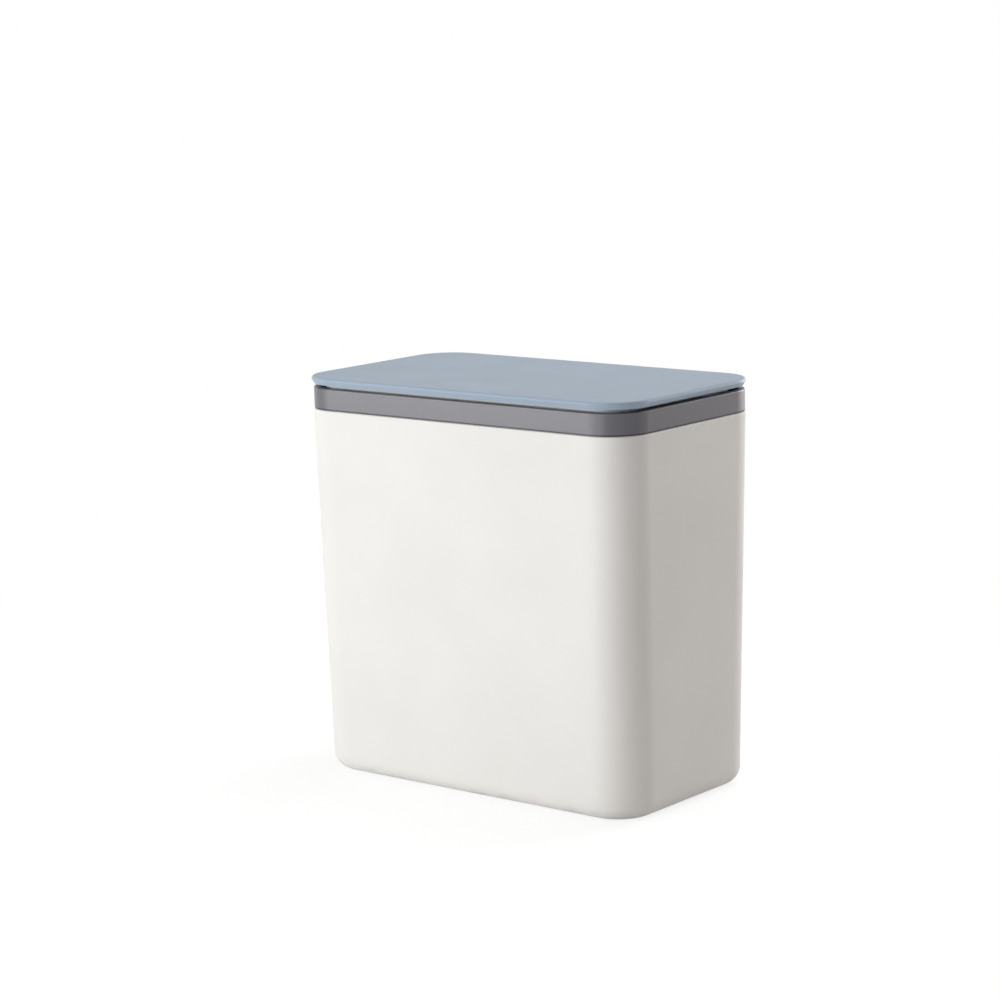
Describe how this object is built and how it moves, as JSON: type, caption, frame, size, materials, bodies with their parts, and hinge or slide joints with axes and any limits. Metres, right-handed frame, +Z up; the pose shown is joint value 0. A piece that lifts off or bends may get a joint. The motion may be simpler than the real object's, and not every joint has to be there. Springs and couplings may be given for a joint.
{
  "type": "desk bin with press-open lid",
  "caption": "Small rectangular desk bin: drafted bucket, lift-off collar and a flat hinged lid that a push latch releases.",
  "frame": {"origin": "middle of the bin's foot on the surface that it stands on", "axes": "+Z up, +X along the long side, -Y towards the latch side, +Y towards the hinges"},
  "size_m": [0.1508, 0.0858, 0.15],
  "materials": {
    "bucket_plastic": "warm white moulded polypropylene, fine satin grain",
    "collar_plastic": "mid grey moulded plastic, fine satin grain",
    "lid_plastic": "pale grey-blue moulded plastic, fine satin grain",
    "liner_plastic": "grey-blue moulded plastic",
    "latch_plastic": "dark grey moulded nylon",
    "slider_plastic": "natural white acetal",
    "bumper_rubber": "soft dark rubber",
    "steel": "plated steel",
    "spring_steel": "drawn spring wire"
  },
  "bodies": {
    "bucket": {"bucket": "bucket_plastic"},
    "collar": {"collar": "collar_plastic", "hinge_pin_left": "steel", "hinge_pin_right": "steel", "torsion_spring_left": "spring_steel", "torsion_spring_right": "spring_steel", "press_bumper_left": "bumper_rubber", "press_bumper_right": "bumper_rubber", "latch_housing": "latch_plastic", "latch_screws": "steel", "latch_cam_pin": "spring_steel", "latch_spring": "spring_steel"},
    "latch_slider": {"latch_slider": "slider_plastic"},
    "lid": {"lid_panel": "lid_plastic", "lid_liner": "liner_plastic", "liner_screws": "steel", "latch_striker": "slider_plastic"}
  },
  "joints": [
    {"name": "collar_lift", "type": "slide", "parent": "bucket", "child": "collar", "axis": [0, 0, 1], "range_m": [0, 0.035]},
    {"name": "lid_hinge", "type": "hinge", "parent": "collar", "child": "lid", "pos_m": [0, 0.0396, 0.1438], "axis": [-1, 0, 0], "range_deg": [-0.7, 85]},
    {"name": "latch_slide", "type": "slide", "parent": "collar", "child": "latch_slider", "axis": [0, 0, 1], "range_m": [-0.001, 0.003], "stiffness_N_per_m": 300, "deforming": ["latch_spring"]}
  ]
}
